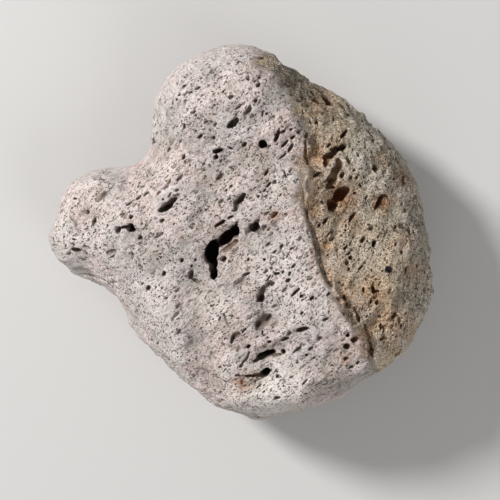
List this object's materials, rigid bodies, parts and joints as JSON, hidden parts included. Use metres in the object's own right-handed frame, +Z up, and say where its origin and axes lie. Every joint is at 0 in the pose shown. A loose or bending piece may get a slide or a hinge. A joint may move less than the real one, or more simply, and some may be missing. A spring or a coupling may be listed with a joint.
{
  "type": "pumice stone",
  "caption": "Palm-sized sea-worn pumice stone, flat and rounded with a side lobe and a low ridge, pitted all over with stretched gas bubbles.",
  "frame": {"origin": "on the surface the stone lies on, under the centre of its bounding box", "axes": "+X along the longest side, away from the side lobe; +Y across the stone, towards the narrower end beside the lobe; +Z up, out of the ridged face, along the shortest side"},
  "size_m": [0.0998, 0.0976, 0.0436],
  "materials": {
    "pumice": "dry, matt and rough, full of open pores; pinkish pale grey, ochre stains, near-black pits"
  },
  "bodies": {
    "root": {"pumice_stone": "pumice"}
  },
  "joints": []
}
